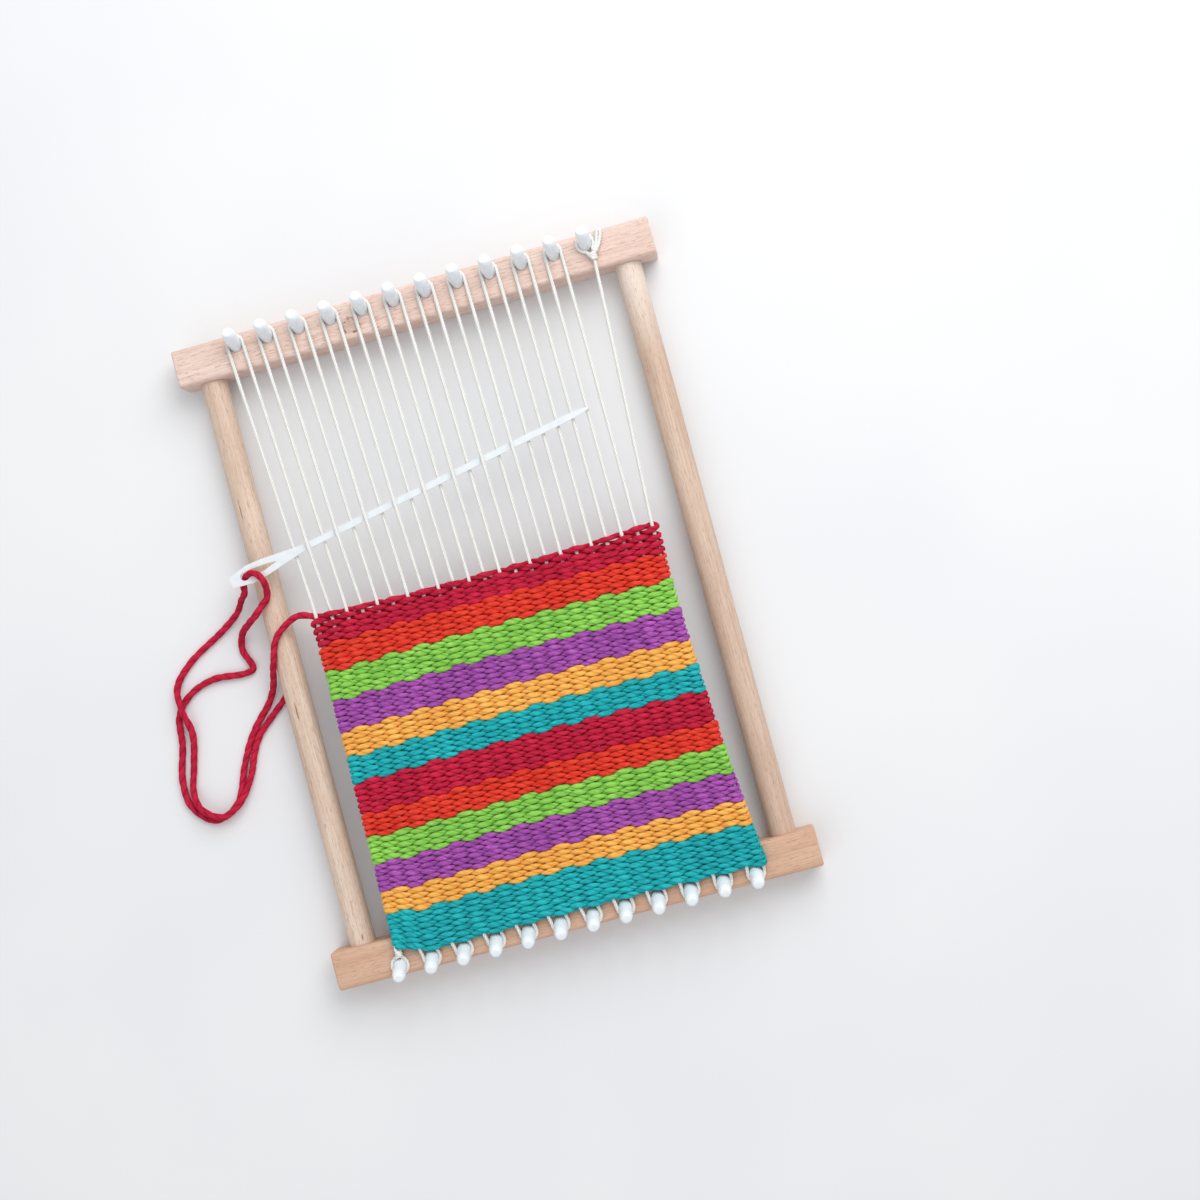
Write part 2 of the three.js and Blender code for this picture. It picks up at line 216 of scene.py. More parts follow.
def smooth_through(points, samples=14):
    """A centripetal Catmull-Rom curve through the points."""
    points = np.array(points, float)
    points = np.vstack([2 * points[0] - points[1], points, 2 * points[-1] - points[-2]])
    knots = np.concatenate([[0], np.cumsum(np.sqrt(np.linalg.norm(np.diff(points, axis=0), axis=1)))])
    curve = []
    for i in range(1, len(points) - 2):
        p, k = points[i - 1 : i + 3], knots[i - 1 : i + 3]
        t = np.linspace(k[1], k[2], samples, endpoint=False)[:, None]
        a = [(p[j] * (k[j + 1] - t) + p[j + 1] * (t - k[j])) / (k[j + 1] - k[j]) for j in range(3)]
        b = [(a[j] * (k[j + 2] - t) + a[j + 1] * (t - k[j])) / (k[j + 2] - k[j]) for j in range(2)]
        curve.append((b[0] * (k[2] - t) + b[1] * (t - k[1])) / (k[2] - k[1]))
    return np.concatenate([*curve, points[-2:-1]])


def level_frames(places):
    """Each station's sideways and upward directions, for a path that is never upright."""
    along = unit(np.gradient(places, axis=0))
    upright = np.array([0.0, 0.0, 1.0])
    up = unit(upright - (along @ upright)[:, None] * along)
    return np.cross(up, along), up


def carried_frames(places, first_up):
    """The same for any path: the upward direction is carried along it without a twist."""
    along = unit(np.gradient(places, axis=0))
    up = np.empty_like(places)
    held = np.array(first_up, float)
    for i, direction in enumerate(along):
        held = held - (held @ direction) * direction
        held /= np.linalg.norm(held)
        up[i] = held
    return np.cross(up, along), up


def wander(along, wavelength):
    """Smooth random values within 1 of zero, changing over about a wavelength."""
    count = int(along[-1] / wavelength) + 3
    knots = rng.uniform(-1, 1, count)
    place = along / wavelength
    index = place.astype(int)
    share = place - index
    share = share * share * (3 - 2 * share)
    return knots[index] * (1 - share) + knots[index + 1] * share


# ---- Twisted yarn and string ----


GROOVE_SHARPNESS = 1.5  # of the grooves between the plies


class Strand:
    """A twisted yarn: a ring of corners at each station, turning with the plies."""

    def __init__(self, places, frames, width, height, turns, plies, ring_size, groove_depth):
        side, up = frames
        around = 2 * np.pi * np.arange(ring_size) / ring_size
        groove = (1 - np.abs(np.sin(plies * around / 2))) ** GROOVE_SHARPNESS
        reach = 1 - groove_depth * groove
        angle = around + 2 * np.pi * turns[:, None]
        self.flat = np.stack([reach * np.cos(angle), reach * np.sin(angle)], axis=-1)
        across = (width[:, None] * self.flat[..., 0])[..., None] * side[:, None]
        upward = (height[:, None] * self.flat[..., 1])[..., None] * up[:, None]
        self.rings = places[:, None] + across + upward
        self.places = places
        self.along = lengths_along(places)
        self.radius = (width + height) / 2
        self.groove = groove

    def piece(self, name, material, start=0, stop=None):
        """A closed piece of the strand, from one station to another."""
        whole = (self.rings, self.places, self.along, self.radius, self.flat)
        rings, places, along, radius, flat = (values[start:stop] for values in whole)
        count, size = rings.shape[:2]
        corners = np.concatenate([rings.reshape(-1, 3), places[[0, -1]]])
        made = add_mesh(name, corners, tube_faces(count, size), material)
        flat_mm = flat * radius[:, None, None]
        length = np.broadcast_to(along[:, None, None], (count, size, 1))
        space = np.concatenate([flat_mm, length], axis=-1).reshape(-1, 3)
        ends = np.array([[0, 0, along[0]], [0, 0, along[-1]]])
        add_attribute(made, "yarn_space", np.concatenate([space, ends]))
        groove = np.concatenate([np.tile(self.groove, count), [0.5, 0.5]])
        add_attribute(made, "groove", groove)
        return made


def taper(along, length):
    """Rounds off a strand's ends over a length: each station's share of its full thickness."""
    from_end = np.minimum(along - along[0], along[-1] - along)
    blunt_end = 0.25
    return np.clip(blunt_end + from_end / length, 0, 1) ** 0.5


# ---- Materials ----


def linear(red, green, blue):
    """A colour from its 0 to 255 display values."""
    shares = np.array([red, green, blue]) / 255
    straight = np.where(shares <= 0.04045, shares / 12.92, ((shares + 0.055) / 1.055) ** 2.4)
    return (*straight, 1.0)


class Shader:
    """A node material being built. Each method adds a node and returns its output."""

    def __init__(self, name):
        self.material = bpy.data.materials.new(name)
        self.material.use_nodes = True
        self.tree = self.material.node_tree
        self.tree.nodes.clear()

    def node(self, kind, inputs, output=0, **settings):
        made = self.tree.nodes.new("ShaderNode" + kind)
        for field, value in settings.items():
            setattr(made, field, value)
        for name, value in inputs.items():
            socket = made.inputs[name]
            if isinstance(value, bpy.types.NodeSocket):
                self.tree.links.new(value, socket)
            else:
                socket.default_value = value
        return None if output is None else made.outputs[output]

    def attribute(self, name, output):
        return self.node("Attribute", {}, output, attribute_name=name)

    def scaled(self, vector, x, y, z):
        return self.node("VectorMath", {0: vector, 1: (x, y, z)}, operation="MULTIPLY")

    def noise(self, vector, scale=1.0, detail=3.0, roughness=0.55, distortion=0.0):
        inputs = {"Vector": vector, "Scale": scale, "Detail": detail, "Roughness": roughness}
        return self.node("TexNoise", {**inputs, "Distortion": distortion}, "Fac")

    def span(self, value, low, high, to_low=0.0, to_high=1.0):
        """A smooth step from to_low to to_high as the value goes from low to high."""
        inputs = {"Value": value, "From Min": low, "From Max": high, "To Min": to_low, "To Max": to_high}
        return self.node("MapRange", inputs, interpolation_type="SMOOTHSTEP")

    def math(self, operation, first, second=0.0):
        return self.node("Math", {0: first, 1: second}, operation=operation)

    def mix(self, share, first, second):
        """A colour between two, by the second one's share. The node has sockets for every type
        of value, and inputs 6 and 7 and output 2 are the ones for colours."""
        return self.node("Mix", {0: share, 6: first, 7: second}, 2, data_type="RGBA")

    def bump(self, height, strength, distance_mm):
        inputs = {"Height": height, "Strength": strength, "Distance": distance_mm * MM}
        return self.node("Bump", inputs)

    def finish(self, **inputs):
        """Ends the material with a Principled shader and returns it."""
        named = {name.replace("_", " "): value for name, value in inputs.items()}
        surface = self.node("BsdfPrincipled", named)
        self.node("OutputMaterial", {"Surface": surface}, None)
        return self.material


def wool(name, colour, shade, light):
    """Soft spun wool: long fibre streaks, darker between the plies, with a downy sheen."""
    s = Shader(name)
    space = s.attribute("yarn_space", "Vector")
    fibres = s.noise(s.scaled(space, 2.6, 2.6, 0.42), 1.0, 4.0, 0.62, 0.4)
    down = s.noise(s.scaled(space, 5.5, 5.5, 2.4), 1.0, 3.0, 0.6)
    lumps = s.noise(s.scaled(space, 0.1, 0.1, 0.16), 1.0, 2.0)
    broad = s.noise(s.node("TexCoord", {}, "Object"), 55.0, 2.0)
    tone = s.mix(s.span(fibres, 0.36, 0.66), colour, light)
    tone = s.mix(s.span(lumps, 0.35, 0.7, 0.0, 0.35), tone, shade)
    tone = s.mix(s.span(broad, 0.3, 0.7, 0.0, 0.25), tone, shade)
    # painted shade: the yarn is darkened towards its shade tone in the grooves between its plies
    groove = s.attribute("groove", "Fac")
    tone = s.mix(s.span(groove, 0.2, 1.0, 0.0, 0.6), tone, shade)
    relief = s.math("ADD", s.math("MULTIPLY", fibres, 0.7), s.math("MULTIPLY", down, 0.3))
    return s.finish(
        Base_Color=tone,
        Roughness=s.span(down, 0.3, 0.7, 0.82, 0.98),
        Specular_IOR_Level=0.18,
        Sheen_Weight=0.3,
        Sheen_Roughness=0.45,
        Sheen_Tint=light,
        Normal=s.bump(relief, 0.55, 0.35),
    )


def cotton():
    """Tightly twisted undyed string."""
    s = Shader("twisted_cotton")
    space = s.attribute("yarn_space", "Vector")
    fibres = s.noise(s.scaled(space, 5.0, 5.0, 1.2), 1.0, 3.0, 0.6, 0.3)
    lumps = s.noise(s.scaled(space, 0.1, 0.1, 0.22), 1.0, 2.0)
    white, off_white = linear(247, 247, 244), linear(238, 237, 231)
    cream, painted_shade_between_plies = linear(230, 227, 218), linear(206, 201, 191)
    tone = s.mix(s.span(fibres, 0.35, 0.7), white, off_white)
    tone = s.mix(s.span(lumps, 0.45, 0.75, 0.0, 0.4), tone, cream)
    # painted shade: the string is darkened in the grooves between its plies
    groove = s.attribute("groove", "Fac")
    tone = s.mix(s.span(groove, 0.2, 1.0, 0.0, 0.55), tone, painted_shade_between_plies)
    return s.finish(
        Base_Color=tone,
        Roughness=s.span(fibres, 0.3, 0.7, 0.78, 0.92),
        Specular_IOR_Level=0.25,
        Sheen_Weight=0.15,
        Subsurface_Weight=0.15,
        Subsurface_Radius=(0.6 * MM, 0.55 * MM, 0.5 * MM),
        Subsurface_Scale=1.0,
        Normal=s.bump(fibres, 0.4, 0.12),
    )


def beech(name, grain, tint, heart, flecks=(), knots=(), pale_from=None):
    """Steamed beech sanded smooth. Grain is the axis it runs along, and heart the place of the
    tree's middle across the grain in millimetres. Each dark fleck and each small knot in its
    upper side is given by its place, its half length along the grain and its half width. Beyond
    pale_from along the grain it turns paler, as painted light on a more brightly lit end."""
    s = Shader(name)
    place = s.scaled(s.node("TexCoord", {}, "Object"), 1 / MM, 1 / MM, 1 / MM)
    parts = s.tree.nodes.new("ShaderNodeSeparateXYZ")
    s.tree.links.new(place, parts.inputs[0])
    x, y, z = parts.outputs
    across, along = (y, x) if grain == "X" else (x, y)
    wood = s.node("CombineXYZ", {0: across, 1: z, 2: along})

    drift = s.noise(s.scaled(wood, 0.03, 0.03, 0.006), 1.0, 2.0)
    from_heart = s.node("VectorMath", {0: wood, 1: (*heart, 0.0)}, operation="SUBTRACT")
    flat = s.scaled(from_heart, 1.0, 1.0, 0.0)
    distance = s.node("VectorMath", {0: flat}, "Value", operation="LENGTH")
    ring = s.math("ADD", s.math("MULTIPLY", distance, 2.3), s.math("MULTIPLY", drift, 30.0))
    rings = s.span(s.math("SINE", ring), -1.0, 1.0)
    streaks = s.noise(s.scaled(wood, 1.5, 1.5, 0.03), 1.0, 4.0, 0.6, 0.2)
    pores = s.noise(s.scaled(wood, 5.5, 5.5, 0.32), 1.0, 2.0, 0.5)
    rays = s.noise(s.scaled(wood, 2.6, 2.6, 0.3), 1.0, 1.0, 0.4)
    clouds = s.noise(s.scaled(wood, 0.09, 0.09, 0.02), 1.0, 3.0)

    pale, warm, dark = tint
    tone = s.mix(s.span(clouds, 0.3, 0.72), pale, warm)
    tone = s.mix(s.span(streaks, 0.4, 0.66, 0.0, 0.5), tone, dark)
    tone = s.mix(s.math("MULTIPLY", rings, 0.14), tone, dark)
    # painted light: the piece turns paler beyond pale_from, as where it is more brightly lit
    if pale_from is not None:
        fully_pale = pale_from + 45.0
        tone = s.mix(s.span(along, pale_from, fully_pale, 0.0, 0.85), tone, PAINTED_LIGHT_END_TONE)
    tone = s.mix(s.span(pores, 0.55, 0.72, 0.0, 0.4), tone, PORE)
    tone = s.mix(s.span(rays, 0.6, 0.73, 0.0, 0.5), tone, RAY)

    normal = s.node("NewGeometry", {}, "Normal")
    end_axis = (1.0, 0.0, 0.0) if grain == "X" else (0.0, 1.0, 0.0)
    facing = s.node("VectorMath", {0: normal, 1: end_axis}, "Value", operation="DOT_PRODUCT")
    end_grain = s.span(s.math("ABSOLUTE", facing), 0.7, 0.95, 0.0, 0.55)
    end_tone = s.mix(rings, *END_GRAIN)
    tone = s.mix(end_grain, tone, end_tone)

    rough = s.noise(s.scaled(wood, 1.1, 1.1, 0.5), 1.0, 3.0)
    for centre, half_length, half_width in (*flecks, *knots):
        offset = s.node("VectorMath", {0: wood, 1: centre}, operation="SUBTRACT")
        shortened = s.scaled(offset, 1 / half_width, 0.0, 1 / half_length)
        reach = s.node("VectorMath", {0: shortened}, "Value", operation="LENGTH")
        reach = s.math("ADD", reach, s.math("MULTIPLY", rough, 0.9))
        on_top = s.span(z, centre[1] - 5.0, centre[1] - 2.0)
        shape = s.math("MULTIPLY", s.span(reach, 0.75, 1.45, 0.8, 0.0), on_top)
        if (centre, half_length, half_width) in knots:
            off_rim = s.math("ABSOLUTE", s.math("SUBTRACT", reach, 1.25))
            rim = s.math("MULTIPLY", s.span(off_rim, 0.02, 0.2, 0.85, 0.0), on_top)
            broken = s.span(s.noise(s.scaled(wood, 0.42, 0.42, 0.42), 1.0, 2.0), 0.38, 0.55)
            halo = s.math("MULTIPLY", s.span(reach, 0.7, 1.7, 0.22, 0.0), on_top)
            shape = s.math("MAXIMUM", s.math("MULTIPLY", rim, broken), halo)
        tone = s.mix(shape, tone, KNOT)

    relief = s.math("ADD", s.math("MULTIPLY", pores, -0.5), s.math("MULTIPLY", streaks, 0.15))
    return s.finish(
        Base_Color=tone,
        Roughness=s.span(streaks, 0.3, 0.7, 0.46, 0.6),
        Specular_IOR_Level=0.32,
        Normal=s.bump(relief, 0.13, 0.1),
    )


def moulded_plastic(name, colour, cloudy, roughness, glow):
    """White nylon: slightly see-through at the edges, with a faint moulded texture."""
    s = Shader(name)
    place = s.node("TexCoord", {}, "Object")
    cloud = s.noise(place, 260.0, 3.0)
    fine = s.noise(place, 2600.0, 2.0)
    tone = s.mix(s.span(cloud, 0.35, 0.7, 0.0, 0.6), colour, cloudy)
    return s.finish(
        Base_Color=tone,
        Roughness=s.span(cloud, 0.3, 0.7, roughness - 0.05, roughness + 0.08),
        Specular_IOR_Level=0.5,
        Subsurface_Weight=glow,
        Subsurface_Radius=(1.2 * MM, 1.3 * MM, 1.4 * MM),
        Subsurface_Scale=1.0,
        Normal=s.bump(fine, 0.12, 0.03),
    )


def paper():
    """The pale table top."""
    s = Shader("pale_table")
    place = s.node("TexCoord", {}, "Object")
    grain = s.noise(place, 700.0, 4.0)
    broad = s.noise(place, 6.0, 2.0)
    tone = s.mix(s.span(broad, 0.3, 0.7), linear(233, 233, 233), linear(229, 229, 230))
    return s.finish(
        Base_Color=tone,
        Roughness=s.span(grain, 0.3, 0.7, 0.78, 0.9),
        Specular_IOR_Level=0.15,
        Normal=s.bump(grain, 0.1, 0.05),
    )


# The beech's tones: the shared ones, and then each piece's pale, warm and dark ones.
PORE = linear(158, 116, 92)
RAY = linear(164, 118, 94)
KNOT = linear(122, 78, 56)
# painted light: the paler tone that a piece's end turns to, where it is more brightly lit
PAINTED_LIGHT_END_TONE = linear(231, 216, 203)
END_GRAIN = (linear(196, 158, 132), linear(160, 118, 92))
# Partly each piece's wood colour and partly painted light and shade: the top rail's tones are lighter
# and the bottom rail's darker, as painted light, and the right post's darker than the left post's, as
# painted shade.
TOP_RAIL_TINT = (linear(236, 212, 200), linear(226, 198, 184), linear(207, 172, 154))
BOTTOM_RAIL_TINT = (linear(219, 182, 156), linear(209, 168, 141), linear(190, 144, 116))
LEFT_POST_TINT = (linear(229, 208, 189), linear(216, 191, 170), linear(194, 162, 139))
RIGHT_POST_TINT = (linear(218, 194, 174), linear(205, 177, 156), linear(184, 150, 127))

# Each wool's own colour, its deep shade between the plies, and its lit fibre tips.
WOOL_COLOURS = {
    "crimson": (linear(196, 25, 56), linear(128, 9, 36), linear(222, 48, 80)),
    "orange": (linear(230, 53, 38), linear(176, 25, 19), linear(243, 84, 60)),
    "green": (linear(138, 206, 76), linear(74, 146, 48), linear(170, 226, 108)),
    "purple": (linear(164, 73, 166), linear(98, 36, 112), linear(194, 108, 192)),
    "gold": (linear(246, 178, 74), linear(212, 126, 44), linear(253, 202, 112)),
    "teal": (linear(20, 172, 176), linear(8, 112, 124), linear(54, 200, 202)),
}
WOOLS = {colour: wool("wool_" + colour, *tones) for colour, tones in WOOL_COLOURS.items()}


# ---- Frame: rails, posts, pegs ----


SHARP_ANGLE = math.radians(32)  # edges over this stay sharp
WELD_DISTANCE = 0.002 * MM


def soft_shading():
    """A modifier group that joins a CAD mesh's faces and shades all but its sharp edges smooth."""
    group = bpy.data.node_groups.new("soft_shading", "GeometryNodeTree")
    for in_out in ("INPUT", "OUTPUT"):
        group.interface.new_socket("Geometry", in_out=in_out, socket_type="NodeSocketGeometry")

    def step(kind, before, **values):
        made = group.nodes.new("GeometryNode" + kind)
        group.links.new(before.outputs[0], made.inputs["Geometry"])
        for name, value in values.items():
            made.inputs[name.replace("_", " ")].default_value = value
        return made

    source = group.nodes.new("NodeGroupInput")
    welded = step("MergeByDistance", source, Distance=WELD_DISTANCE)
    bare = step("RemoveAttribute", welded, Name="custom_normal")
    smooth = step("SetShadeSmooth", bare)
    sharp = step("SetShadeSmooth", smooth, Shade_Smooth=False)
    sharp.domain = "EDGE"
    angle = group.nodes.new("GeometryNodeInputMeshEdgeAngle")
    over = group.nodes.new("ShaderNodeMath")
    over.operation = "GREATER_THAN"
    over.inputs[1].default_value = SHARP_ANGLE
    target = group.nodes.new("NodeGroupOutput")
    group.links.new(angle.outputs["Unsigned Angle"], over.inputs[0])
    group.links.new(over.outputs[0], sharp.inputs["Selection"])
    group.links.new(sharp.outputs[0], target.inputs[0])
    return group


SOFT_SHADING = soft_shading()


def finish_cad_node(name, material):
    """Gives a carried-over CAD piece its material and its smooth shading."""
    piece = frame["nodes"][name]
    piece.data.materials.clear()
    piece.data.materials.append(material)
    piece.modifiers.new("soft_shading", "NODES").node_group = SOFT_SHADING


def finish_rails_and_posts():
    """The rails and posts, with a knot between the fourth and fifth top pegs and three dark
    flecks in the left post."""
    rail_top, post_top = TOP_RAIL[1][2], LEFT_POST[1][2]
    between = np.mean([peg.at_height(rail_top)[0] for peg in TOP_PEGS[3:5]])
    knot = ((TOP_RAIL[0][1] + 6.5, rail_top, between + 0.8), 4.6, 4.2)
    post_middle = (LEFT_POST[0][0] + LEFT_POST[1][0]) / 2
    flecks = [
        ((post_middle - 0.8, post_top, 118.0), 5.5, 0.5),
        ((post_middle - 2.1, post_top, 212.5), 6.0, 0.4),
        ((post_middle + 1.7, post_top, 12.0), 2.4, 0.45),
    ]
    woods = {
        "top_rail": beech("beech_top_rail", "X", TOP_RAIL_TINT, (255.0, -40.0), knots=[knot]),
        "bottom_rail": beech("beech_bottom_rail", "X", BOTTOM_RAIL_TINT, (-20.0, -46.0)),
        "left_post": beech("beech_left_post", "Y", LEFT_POST_TINT, (-118.0, -24.0), flecks),
        # the right post's top end is painted paler, as painted light
        "right_post": beech("beech_right_post", "Y", RIGHT_POST_TINT, (122.0, -30.0), pale_from=225.0),
    }
    for name, wood in woods.items():
        finish_cad_node(name, wood)


PEG_PLASTIC = moulded_plastic(
    "white_peg_plastic", linear(240, 245, 249), linear(229, 236, 243), 0.3, 0.5
)


def peg_profile(radius, length):
    """The peg's outline from foot to crown as (radius, height): a straight pin, a slightly
    conical shoulder, and a flat crown with a rounded rim."""
    shoulder = length - 2.3
    ease = 0.4
    rim = 0.9
    rim_width = rim + 0.1 * radius
    rim_start = 0.72 * radius - rim
    crown = length + 0.05
    straight = [(0.0, 0.0), (radius - ease, 0.0), (radius, ease), (radius, shoulder - ease)]
    cone = [(0.985 * radius, shoulder), (0.94 * radius, shoulder + 0.6)]
    rounded = [
        (rim_start + rim_width * np.cos(angle), length - rim * (1 - np.sin(angle)))
        for angle in np.linspace(0, np.pi / 2, 7)
    ]
    return straight + cone + rounded + [(0.0, crown)]


def add_peg(peg):
    segments = 40
    profile = np.array(peg_profile(peg.radius, peg.length))
    sideways = np.array([1.0, 0.0, 0.0])
    outward = np.cross(peg.axis, sideways)
    angle = 2 * np.pi * np.arange(segments) / segments
    spokes = np.outer(np.cos(angle), sideways) + np.outer(np.sin(angle), outward)
    middle = peg.foot + profile[:, 1, None] * peg.axis
    rings = middle[1:-1, None] + profile[1:-1, 0, None, None] * spokes
    corners = np.concatenate([rings.reshape(-1, 3), middle[[0, -1]]])
    faces = tube_faces(len(rings), segments)
    made = add_mesh(peg.node + "_moulded", corners, faces, PEG_PLASTIC)
    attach(made, "loom_frame")
    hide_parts(peg.node)


# ---- Weft ----

PICK_PITCH = 1.3
NEWEST_PITCHES = [2.3, 1.9, 1.6, 1.4]  # the last rows woven aren't beaten down yet
SAMPLES_PER_THREAD = 14
RING_SPACING = 0.7
YARN_TWIST = 11.0  # length of one full turn of the two plies
GROOVE_DEPTH = 0.17

# The yarn's half width and half height where it lies over or under a thread, where it crosses
# between two threads, where it turns at a selvedge, and where it isn't beaten down.
LYING = np.array([1.52, 0.86])
CROSSING = np.array([0.86, 1.3])
TURNING = np.array([0.95, 1.4])
LOOSE = np.array([1.35, 1.2])

EXTRA_PITCH_WHEN_LOOSE = 0.9
ROW_LIFT = 1.34  # from the warp's middle to a row's, where the row goes over or under a thread
LOOSE_LIFT = 0.25  # added to it in a loose row
ROW_STRAY = 0.14  # how far a row strays from its line
LOOSE_STRAY = 0.15  # added to it in a loose row
THICKNESS_STRAY = 0.06
CROSSING_SHARPNESS = 1.6  # how quickly a row goes from over one thread to under the next

MIDDLE_ARCH = 1.2  # how far a row stands higher in the middle than at the sides
NEWEST_SAG = -2.6  # the same for the newest row, which hangs
SAG_DEPTH = 15.0  # how far down the sag goes
CORNER_PULL = 5.2  # how far the lower left corner is pulled up
CORNER_PULL_HEIGHT = 30.0
CORNER_PULL_THREADS = 1.8

TURN_REACH = (1.1, 1.45)  # least and most that a turn stands out past the outermost thread
NEWEST_TURN_SLACK = 0.9  # added to it at the newest row
TURN_SLACK_DEPTH = 26.0  # how far down that slack goes
END_TAPER = 1.2  # the length over which a yarn's cut end rounds off


def picks_of_band(index):
    """The middle heights and pitches of a stripe's rows of yarn, from the top down."""
    top, low = BORDERS[index], BORDERS[index + 1]
    if index == 0:
        rest = round((top - low - sum(NEWEST_PITCHES)) / PICK_PITCH)
        pitches = np.array(NEWEST_PITCHES + [PICK_PITCH] * rest)
    else:
        pitches = np.ones(round((top - low) / PICK_PITCH))
    pitches = pitches * (top - low) / pitches.sum()
    return top - np.cumsum(pitches) + pitches / 2, pitches


def bow(y, thread):
    """How far a row stands above its level: rows arch in the middle, the newest ones sag, and
    the oldest ones are pulled up at the left corner."""
    share = 2 * thread / LAST_THREAD - 1
    arch = np.interp(y, [BORDERS[0] - SAG_DEPTH, BORDERS[0]], [MIDDLE_ARCH, NEWEST_SAG])
    corner = np.clip(1 - thread / CORNER_PULL_THREADS, 0, 1) ** 1.2
    pulled = CORNER_PULL * np.exp(-y / CORNER_PULL_HEIGHT) * corner
    return arch * (1 / 3 - share * share) + pulled


class Pick:
    """One row of yarn across the warp: where it is and how it is pressed, at any thread."""

    def __init__(self, number, y, pitch):
        self.number = number
        self.y = y
        self.loose = float(np.clip((pitch - PICK_PITCH) / EXTRA_PITCH_WHEN_LOOSE, 0, 1))
        self.knots_y = rng.uniform(-1, 1, LAST_THREAD * 2)
        self.knots_size = rng.uniform(-1, 1, LAST_THREAD + 4)

    def over(self, thread):
        """1 over a thread and -1 under it. Even rows go under the even threads."""
        return (-1 if self.number % 2 == 0 else 1) * np.cos(np.pi * thread)

    def rows(self, thread, over, turning=0.0):
        """Place and half sizes for threads' numbers. Turning is 1 halfway round a selvedge."""
        stray, size = (
            np.interp(thread, np.linspace(-1, LAST_THREAD + 1, len(knots)), knots)
            for knots in (self.knots_y, self.knots_size)
        )
        y = self.y + bow(self.y, thread) + (ROW_STRAY + LOOSE_STRAY * self.loose) * stray
        wave = np.tanh(CROSSING_SHARPNESS * over) / math.tanh(CROSSING_SHARPNESS)
        lift = (ROW_LIFT + LOOSE_LIFT * self.loose) * wave
        pressed = (np.abs(over) ** 1.2)[:, None]
        turning = np.broadcast_to(turning, np.shape(thread))[:, None]
        half = CROSSING + (LYING - CROSSING) * pressed
        half = half + (LOOSE - half) * 0.55 * self.loose
        half = half + (TURNING - half) * turning
        size = 1 + THICKNESS_STRAY * size
        x = thread_x(thread, y)
        return np.column_stack([x, y, WARP_Z + lift * size, half * size[:, None]])


def row_across(pick, going_right):
    thread = np.linspace(0, LAST_THREAD, LAST_THREAD * SAMPLES_PER_THREAD + 1)
    if not going_right:
        thread = thread[::-1]
    return pick.rows(thread, pick.over(thread))


def turn_between(upper, lower, side):
    """The half turn round the outermost thread, from one row to the next one down."""
    share = np.linspace(0, 1, SAMPLES_PER_THREAD)[1:-1]
    edge = np.full(len(share), LAST_THREAD if side > 0 else 0.0)
    over = upper.over(edge) * np.cos(np.pi * share)
    bulge = np.sin(np.pi * share)
    start = upper.rows(edge, over, bulge)
    end = lower.rows(edge, over, bulge)
    down = ((1 - np.cos(np.pi * share)) / 2)[:, None]
    rows = start * (1 - down) + end * down
    slack_heights = [BORDERS[0] - TURN_SLACK_DEPTH, BORDERS[0]]
    slack = np.interp(upper.y, slack_heights, [0.0, NEWEST_TURN_SLACK])
    rows[:, 0] += side * (rng.uniform(*TURN_REACH) + slack) * bulge
    return rows


def tucked_end(pick, side):
    """The yarn's end, brought round the outermost thread and laid under the weaving, from the
    row outwards. It is left out where the rail is underneath, and where the row ends below."""
    edge = np.array([LAST_THREAD if side > 0 else 0.0])
    last = pick.rows(edge, pick.over(edge))[0]
    near_rail = BOTTOM_RAIL[1][1] + 2
    if pick.over(edge)[0] < 0 or last[1] < near_rail:
        outside = last.copy()
        outside[0] += side * 1.3
        return np.array([outside])
    share = np.linspace(0, 1, 10)[1:]
    reach, drop = 1.7, 0.6
    rows = np.repeat(last[None], len(share), axis=0)
    rows[:, 0] += side * reach * np.sin(np.pi * share)
    rows[:, 2] = WARP_Z + (last[2] - WARP_Z + drop) * np.cos(np.pi * share) - drop
    inward = np.linspace(1, 7, 8)
    laid = np.repeat(rows[-1:], len(inward), axis=0)
    laid[:, 0] -= side * inward
    laid[:, 1] += 0.25 * inward
    laid[:, 2] -= 0.45 * np.minimum(inward, 2)
    return np.concatenate([rows, laid])


def band_rows(picks, tuck_start):
    """A stripe's whole path: back and forth across the warp, from its top row down."""
    parts = []
    for i, pick in enumerate(picks):
        going_right = pick.number % 2 == 0
        parts.append(row_across(pick, going_right))
        if i + 1 < len(picks):
            parts.append(turn_between(pick, picks[i + 1], 1 if going_right else -1))
    first_side = -1 if picks[0].number % 2 == 0 else 1
    last_side = 1 if picks[-1].number % 2 == 0 else -1
    if tuck_start:
        parts.insert(0, tucked_end(picks[0], first_side)[::-1])
    parts.append(tucked_end(picks[-1], last_side))
    return np.concatenate(parts)


def slubs(along, amount):
    """Uneven spinning: a little thicker here, thinner there."""
    return 1 + amount * (0.65 * wander(along, 11.0) + 0.35 * wander(along, 2.6))


def yarn_turns(along):
    """Turns of the plies so far, a little tighter in places."""
    return (along + 1.6 * wander(along, 17.0)) / YARN_TWIST


def weft_strand(rows):
    """A stripe's yarn along its rows."""
    rows = resample(rows, RING_SPACING)
    along = lengths_along(rows)
    size = slubs(along, 0.1) * taper(along, END_TAPER)
    frames = level_frames(rows[:, :3])
    width, height = rows[:, 3] * size, rows[:, 4] * size
    return Strand(rows[:, :3], frames, width, height, yarn_turns(along), 2, 12, GROOVE_DEPTH)


def all_bands():
    """Every stripe's rows, numbered from the top of the weaving."""
    bands = []
    number = 0
    for index in range(len(BAND_NODES)):
        picks = []
        for y, pitch in zip(*picks_of_band(index)):
            picks.append(Pick(number, y, pitch))
            number += 1
        bands.append(picks)
    return bands


def finish_yarn(node):
    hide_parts(node)


